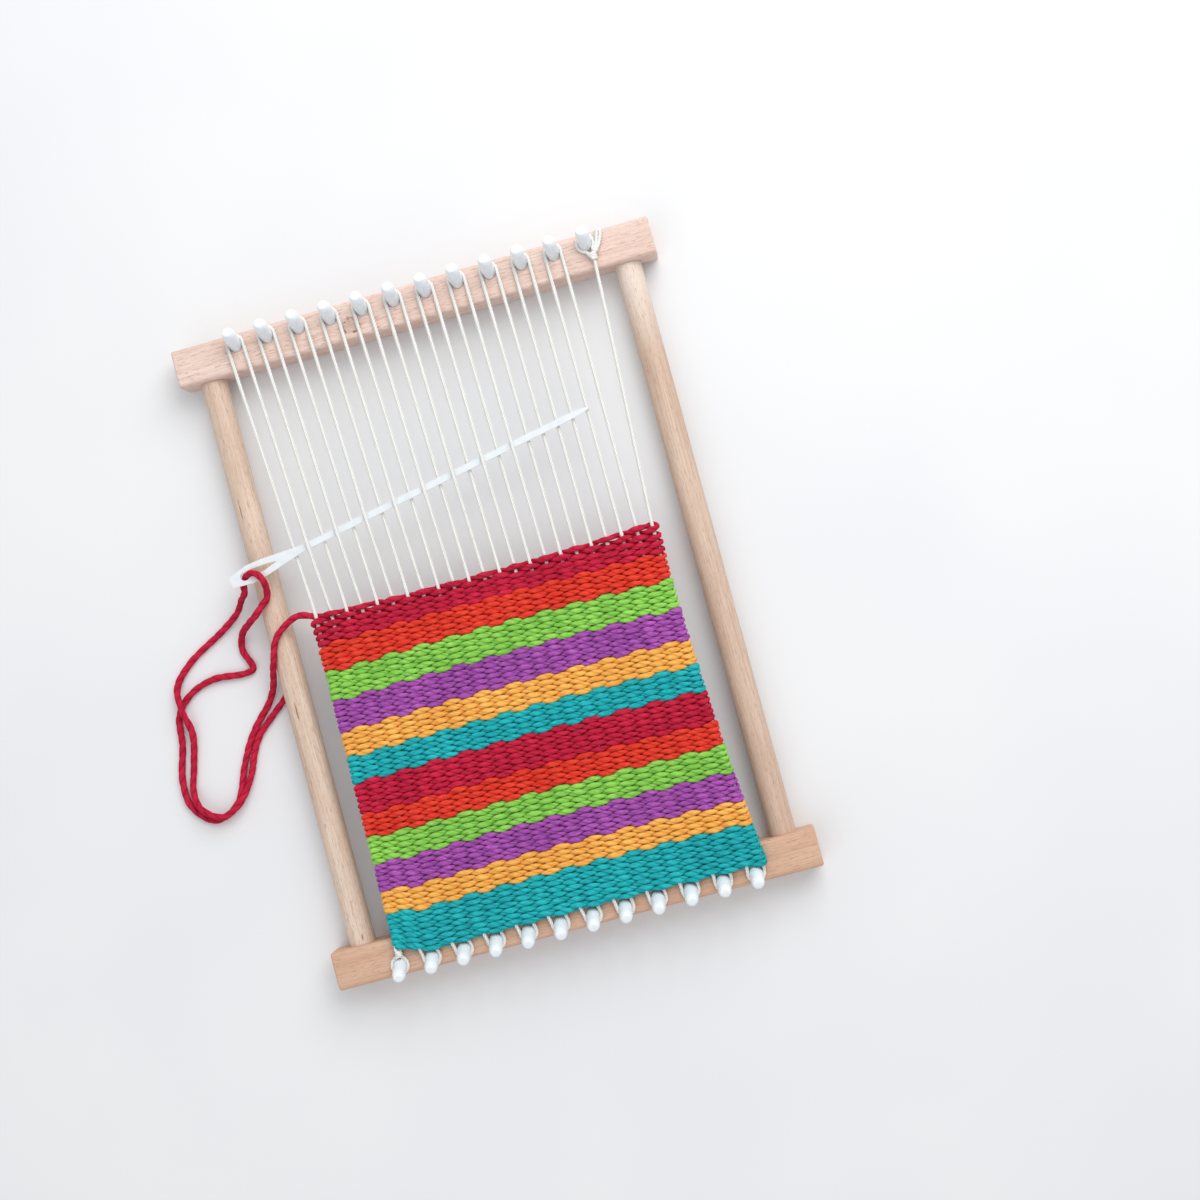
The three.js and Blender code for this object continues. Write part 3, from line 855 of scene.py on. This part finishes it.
def add_weft(bands):
    """Every stripe but the newest, which is one yarn with the working yarn."""
    for node, picks in list(zip(BAND_NODES, bands))[1:]:
        colour = node.split("_")[2]
        strand = weft_strand(band_rows(picks, tuck_start=True))
        piece = strand.piece(node + "_yarn", WOOLS[colour])
        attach(piece, "loom_frame")
        finish_yarn(node)


# ---- Working yarn ----

YARN_RADIUS = 1.6
YARN_SPACING = 0.5
YARN_JOIN = 6.0  # the length over which the round yarn takes on the newest row's thickness
GROUND = YARN_RADIUS + 0.05

# The loop's bottom is between these two places along X.
SLACK = (-136.0, -157.0)


class NeedlePlace:
    """Places on the needle, by distance back from its tip and across it."""

    def __init__(self):
        slide = next(j for j in frame["joints"] if j["name"] == "needle_slide")
        self.along = np.array(slide["axis"])
        self.across = np.array([-self.along[1], self.along[0], 0.0])
        points = corners_of("needle")
        self.tip = points[np.argmax(points @ self.along)]
        self.under, self.top = points[:, 2].min(), points[:, 2].max()

    def at(self, back, across, z):
        place = self.tip - back * self.along + across * self.across
        return np.array([place[0], place[1], z])


def working_route():
    """The yarn from its free end under the left post to the weaving: beside itself round the
    long loop, up through the needle's eye, back round the loop and over the post."""
    needle = NeedlePlace()
    post_top = LEFT_POST[1][2] + YARN_RADIUS
    crossing = GROUND + 2 * YARN_RADIUS  # the height where one strand lies over the other
    over_needle = needle.top + YARN_RADIUS + 0.2
    in_slot = (needle.top + needle.under) / 2
    under_needle = needle.under - YARN_RADIUS - 0.2
    fell = BORDERS[0]

    def at(x, y, z=GROUND):
        return np.array([x, y, z])

    free_strand = [
        at(-99.8, 130.5),
        at(-107.3, 124.7),
        at(-115.5, 118.1),
        at(-122, 112.3),
        at(-126.4, 105.2),
        at(-130.9, 95, GROUND + 0.4),
        at(-138.5, 84.3, crossing),
        at(-148, 80.5, crossing),
        at(-156.5, 86.5, crossing),
        at(-158.7, 95, GROUND + 0.6),
        at(-155.5, 107),
        at(-152.2, 121, GROUND + 0.8),
        at(-153.6, 133, crossing),
        at(-153.5, 143.5, GROUND + 0.8),
        at(-145, 152.8),
        at(-126.3, 163.3, GROUND + 0.4),
        at(-117, 169.2, 4.5),
        at(-112, 174, 10),
    ]
    through_eye = [
        needle.at(177.3, -6, under_needle - 2),
        needle.at(175.8, -3, under_needle - 0.2),
        needle.at(173.6, -0.5, under_needle + 0.3),
        needle.at(171.4, -0.1, in_slot),
        needle.at(169.1, -0.4, over_needle - 0.3),
        needle.at(167, -2.2, over_needle + 0.2),
        needle.at(165.9, -6, over_needle - 0.6),
        at(-98.3, 171.6, post_top + 1.2),
        at(-102.3, 168.1, post_top + 0.6),
        at(-106.1, 164.9, post_top + 0.1),
        at(-108.8, 163.5, post_top - 1.4),
        at(-111.2, 162.4, 12),
        at(-115.9, 160.1, 6.5),
    ]
    loop = [
        at(-118.7, 156.3, 3),
        at(-119.6, 152),
        at(-116.9, 142.8),
        at(-120.9, 141.6),
        at(-136.5, 142.8),
        at(-148.2, 139),
        at(-156, 131),
        at(-158.4, 117),
        at(-162.6, 101),
        at(-161.5, 88.5),
        at(-152, 79.5),
        at(-140.3, 84.5),
        at(-132.5, 100.6),
        at(-127.2, 110.3),
    ]
    to_weaving = [
        at(-121.5, fell - 39.1),
        at(-114.6, fell - 32),
        at(-110.8, fell - 27.1, 3.4),
        at(-107.9, fell - 22.5, 7.5),
        at(-105.6, fell - 17.6, 12),
        at(-103.3, fell - 12.7, 14.8),
        at(-101.4, fell - 7.7, post_top - 0.4),
        at(-98.7, fell - 3.5, post_top + 0.2),
        at(-95, fell - 0.5, post_top + 0.5),
        at(-90.6, fell + 1.9, 17.6),
        at(-85.9, fell + 2.9, 18.4),
    ]
    return free_strand + through_eye + loop + to_weaving


def add_working_yarn(newest_picks):
    """The working yarn and the newest stripe, which are one yarn, cut where they meet and at both
    ends of the loop's bottom: one side of the loop goes with the needle, the other stays, and the
    bottom between them goes with neither."""
    stripe = band_rows(newest_picks, tuck_start=False)
    route = smooth_through([*working_route(), stripe[0, :3]])[:-1]
    route = np.column_stack([route, np.full((len(route), 2), YARN_RADIUS)])
    free = resample(route, YARN_SPACING)
    stripe = resample(stripe, RING_SPACING)
    joined = len(free)
    rows = np.concatenate([free, stripe])
    along = lengths_along(rows)
    blend_in = np.clip((along - along[joined]) / YARN_JOIN + 1, 0, 1)[:joined, None]
    rows[:joined, 3:] += (stripe[0, 3:] - YARN_RADIUS) * blend_in
    places = rows[:, :3]
    stripe_side, stripe_up = level_frames(places[joined - 1 :])
    free_side, free_up = carried_frames(places[: joined + 1][::-1], stripe_up[1])
    side = np.concatenate([-free_side[::-1][:joined], stripe_side[1:]])
    up = np.concatenate([free_up[::-1][:joined], stripe_up[1:]])
    size = slubs(along, 0.08) * taper(along, END_TAPER)
    width, height = rows[:, 3] * size, rows[:, 4] * size
    strand = Strand(places, (side, up), width, height, yarn_turns(along), 2, 14, GROOVE_DEPTH)

    def nearest_station(first, last, x, y):
        gaps = np.linalg.norm(places[first:last, :2] - (x, y), axis=1)
        return first + int(np.argmin(gaps))

    eye = int(np.argmax(places[:joined, 2]))
    beside = SLACK[0] + YARN_RADIUS + 0.1
    # Each part's name and the station where it ends.
    parts = {
        "free_end": nearest_station(0, eye, beside, 90.5),
        "free_slack": nearest_station(0, eye, -158.7, 95),
        "needle_loop": nearest_station(eye, joined, -162.3, 95),
        "weaving_slack": nearest_station(eye, joined, beside, 93.5),
        "weaving_end": joined,
    }
    begin = 0
    for part, stop in parts.items():
        piece = strand.piece("working_yarn_" + part, WOOLS["crimson"], begin, stop + 1)
        if part.endswith("slack"):
            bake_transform(piece)
        else:
            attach(piece, "needle" if part == "needle_loop" else "loom_frame")
        finish_yarn("working_yarn")
        begin = stop
    newest = strand.piece(BAND_NODES[0] + "_yarn", WOOLS["crimson"], joined)
    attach(newest, "loom_frame")
    finish_yarn(BAND_NODES[0])


# ---- Warp ----

STRING_SPACING = 0.5
HIDDEN_SPACING = 4.0  # inside the weaving
HIDDEN_THICKNESS = 0.75  # of the full one
STRING_TWIST = 4.6  # length of one full turn of the plies
STRING_PLIES = 3
STRING_GROOVE_DEPTH = 0.26
STRING_UNEVENNESS = 0.07
LAST_LIFTED = 15  # the odd threads up to this one lie over the needle
LIFTED_HALF_LENGTH = 2.2  # of a lifted thread's level part
HIDDEN_FROM = 11.0  # below the newest row
HIDDEN_TO = 6.0  # above the weaving's lower edge


def round_peg(peg, from_deg, to_deg, outward, extra=-0.2):
    """An arc of string lying on the rail round a peg. 0 is on its right and 90 outwards."""
    centre = peg.at_height(LOOP_Z)
    lean = peg.axis[2]
    reach_x = peg.radius + WARP_RADIUS + extra
    reach_y = peg.radius / lean + WARP_RADIUS + extra
    steps = max(3, int(abs(to_deg - from_deg) / 15) + 1)
    angle = np.radians(np.linspace(from_deg, to_deg, steps))
    x = centre[0] + reach_x * np.cos(angle)
    y = centre[1] + outward * reach_y * np.sin(angle)
    return np.stack([x, y, np.full(steps, LOOP_Z)], axis=1)


def coiled(centre, radius, length, turns):
    """A few tight turns about a line that runs along Y: the body of a knot."""
    share = np.linspace(0, 1, int(turns * 12) + 1)
    angle = 2 * np.pi * turns * share
    offset = np.stack([np.cos(angle) * radius, (0.5 - share) * length, np.sin(angle) * radius], axis=1)
    return np.array(centre) + offset


def lifted_crossing(start, end):
    """Where a thread crosses the needle, as the two ends of its level part."""
    needle = NeedlePlace()
    across = needle.across[:2]
    share = ((needle.tip - start)[:2] @ across) / ((end - start)[:2] @ across)
    middle = start + (end - start) * share
    half = unit(end - start) * LIFTED_HALF_LENGTH
    places = [middle - half, middle + half]
    for place in places:
        place[2] = needle.top + WARP_RADIUS + 0.05
    return places


def leaving_x(number):
    """Where a thread leaves the weaving's lower edge: the left ones turn in to their pegs."""
    if number == 0:
        return thread_x(0, 0.0) + 0.5
    return thread_x(number, 0.0) + 1.5 * max(0.0, 1 - number / 11)


def thread_runs(number, start):
    """One thread from its peg down to the weaving's lower edge, as (points, spacing) runs."""

    def inside(y):
        return np.array([thread_x(number, y), y, WARP_Z])

    fell = BORDERS[0] + bow(BORDERS[0], number)
    visible_end = fell - HIDDEN_FROM
    points = [start]
    if number % 2 == 1 and number <= LAST_LIFTED:
        points += lifted_crossing(start, inside(fell))
    points += [inside(fell), inside(visible_end)]
    low = bow(0.0, number)
    heights = np.arange(visible_end, low + HIDDEN_TO, -HIDDEN_SPACING)
    hidden = [inside(y) for y in heights]
    edge = np.array([leaving_x(number), low + 0.3, WARP_Z - 0.3])
    leaving = [inside(low + HIDDEN_TO - 1), edge]
    return [(points, STRING_SPACING), (hidden, HIDDEN_SPACING), (leaving, STRING_SPACING)]


def upwards(runs):
    """The same runs from their other end."""
    return [(points[::-1], spacing) for points, spacing in runs[::-1]]


def top_knot(peg):
    """The string's start: a folded tail beside the last top peg, a knot inside it, and one turn
    round the peg before the first thread leaves the knot."""
    foot = peg.at_height(LOOP_Z)
    knot = foot + (2.2, -6.6, 0.6)
    tail = [
        knot + (0.6, 1.6, 0.9),
        foot + (4.9, -1.6, 0.3),
        foot + (6.3, 3.4, 0.1),
        foot + (7.0, 4.6, 0.1),
        foot + (7.9, 3.8, 0.1),
        foot + (6.5, -0.8, 0.3),
        knot + (1.7, 1.8, 0.6),
    ]
    body = coiled(knot, 1.15, 2.6, 2.25)
    to_peg = [knot + (-1.6, 0.9, 0.4)]
    round_it = round_peg(peg, 262, -40, 1)
    back = [knot + (0.8, 1.6, 0.1), knot + (0.1, -2.2, -0.1)]
    return smooth_through([*tail, *body, *to_peg, *round_it, *back], 8)


def bottom_knot(peg, arriving):
    """The string's end: a knot just inside the first bottom peg, a loop round the peg, and the
    tail laid back beside the last thread into the weaving."""
    foot = peg.at_height(LOOP_Z)
    knot = foot + (1.0, 5.3, 1.3)
    body = coiled(knot, 0.95, 1.7, 2.25)
    loop = round_peg(peg, -125, -415, -1, -0.3)
    tail = [
        knot + (0.4, -0.6, 0.9),
        knot + (-0.6, 1.4, 0.9),
        np.array([arriving[0] - 1.7, arriving[1] + 1.2, WARP_Z - 0.3]),
        np.array([arriving[0] - 0.7, arriving[1] + 5.5, WARP_Z - 0.4]),
    ]
    return smooth_through([*body, *loop, *tail], 8)


def warp_runs():
    """The whole string, from the knot on the last top peg to the one on the first bottom peg."""
    last = len(TOP_PEGS) - 1
    runs = [(top_knot(TOP_PEGS[last]), STRING_SPACING)]
    for i in range(last, -1, -1):
        runs += thread_runs(2 * i, np.array(runs[-1][0][-1]))
        if i == 0:
            break
        runs.append((round_peg(BOTTOM_PEGS[i], 0, 180, -1), STRING_SPACING))
        upper = round_peg(TOP_PEGS[i - 1], 0, 180, 1)
        runs += upwards(thread_runs(2 * i - 1, upper[0]))
        runs.append((upper, STRING_SPACING))
    runs.append((bottom_knot(BOTTOM_PEGS[0], runs[-1][0][-1]), STRING_SPACING))
    return runs


def add_warp():
    """The string as one piece. It is plain and thinner inside the weaving, where it can't be seen."""
    parts, twists, sizes = [], [], []
    previous = None
    for points, spacing in warp_runs():
        points = np.array(points)
        if previous is not None:
            points = np.concatenate([previous[None], points])
        part = resample(points, spacing)
        keep = part if previous is None else part[1:]
        hidden = spacing == HIDDEN_SPACING
        parts.append(keep)
        twists.append(np.full(len(keep), 0.0 if hidden else 1 / STRING_TWIST))
        sizes.append(np.full(len(keep), HIDDEN_THICKNESS if hidden else 1.0))
        previous = points[-1]
    places = np.concatenate(parts)
    places[1:-1] = (places[:-2] + 2 * places[1:-1] + places[2:]) / 4
    along = lengths_along(places)
    turns = np.cumsum(np.concatenate([[0], np.diff(along)]) * np.concatenate(twists))
    spun = (1 + STRING_UNEVENNESS * wander(along, 4.0)) * taper(along, 0.7)
    radius = WARP_RADIUS * np.concatenate(sizes) * spun
    frames = carried_frames(places, (0.0, 0.0, 1.0))
    strand = Strand(places, frames, radius, radius, turns, STRING_PLIES, 9, STRING_GROOVE_DEPTH)
    piece = strand.piece("warp_string_twisted", cotton())
    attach(piece, "loom_frame")
    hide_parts("warp_string")


# ---- Stage ----


# The soft boxes: where each is from the loom, how far, its side and its power.
SOFT_BOXES = {
    "key": ((0.44, 0.57, 0.70), 1.3, 1.1, 13.2),
    "fill": ((-0.5, -0.6, 0.9), 1.8, 1.6, 6.0),
}
DAYLIGHT = (0.93, 0.96, 1.0, 1.0)
DAYLIGHT_STRENGTH = 0.6

# The camera's lens in millimetres, its place in metres, and where it looks and has its top.
LENS = 55.76
CAMERA_PLACE = (0.1056, 0.10845, 0.84525)
CAMERA_AHEAD = (-0.0703, 0.0269, -0.9972)
CAMERA_UP = (0.2626, 0.9649, 0.0075)


def add_floor():
    """A wide table top, level with the loom's own plane of rest."""
    size = 6000.0
    corners = np.array([(-size, -size, 0), (size, -size, 0), (size, size, 0), (-size, size, 0)])
    table = add_mesh("table_top", corners, [np.array([[0, 1, 2, 3]])], paper())


def add_area_light(name, middle, direction, distance, size, power):
    """A square soft box that looks at the loom's middle from a direction."""
    data = bpy.data.lights.new(name, "AREA")
    data.shape = "SQUARE"
    data.size = size
    data.energy = power
    light = bpy.data.objects.new(name, data)
    towards = Vector(direction).normalized()
    light.location = middle + towards * distance
    light.rotation_mode = "QUATERNION"
    light.rotation_quaternion = towards.to_track_quat("Z", "Y")
    bpy.context.scene.collection.objects.link(light)


def add_lights():
    middle = (CAD_BOX[0] + CAD_BOX[1]) / 2
    for name, settings in SOFT_BOXES.items():
        add_area_light(name, middle, *settings)
    world = bpy.data.worlds.new("soft_daylight")
    world.use_nodes = True
    background = world.node_tree.nodes["Background"]
    background.inputs["Color"].default_value = DAYLIGHT
    background.inputs["Strength"].default_value = DAYLIGHT_STRENGTH
    bpy.context.scene.world = world
    bpy.context.scene.view_settings.view_transform = "Standard"


def add_camera():
    """A camera almost straight above the loom, with the loom turned clockwise in the view."""
    data = bpy.data.cameras.new("camera")
    data.sensor_width = 36.0
    data.lens = LENS
    data.clip_start = 0.01
    camera = bpy.data.objects.new("camera", data)
    camera.location = CAMERA_PLACE
    ahead = Vector(CAMERA_AHEAD).normalized()
    right = ahead.cross(Vector(CAMERA_UP)).normalized()
    up = right.cross(ahead)
    turn = Matrix((right, up, -ahead)).transposed()
    camera.rotation_mode = "QUATERNION"
    camera.rotation_quaternion = turn.to_quaternion()
    bpy.context.scene.collection.objects.link(camera)
    bpy.context.scene.camera = camera


# ---- Assembly ----

finish_rails_and_posts()
for peg in TOP_PEGS + BOTTOM_PEGS:
    add_peg(peg)
NEEDLE_PLASTIC = moulded_plastic(
    "white_needle_plastic", linear(229, 233, 234), linear(219, 224, 227), 0.36, 0.5
)
finish_cad_node("needle", NEEDLE_PLASTIC)
BANDS = all_bands()
add_weft(BANDS)
add_working_yarn(BANDS[0])
add_warp()
add_floor()
add_lights()
add_camera()
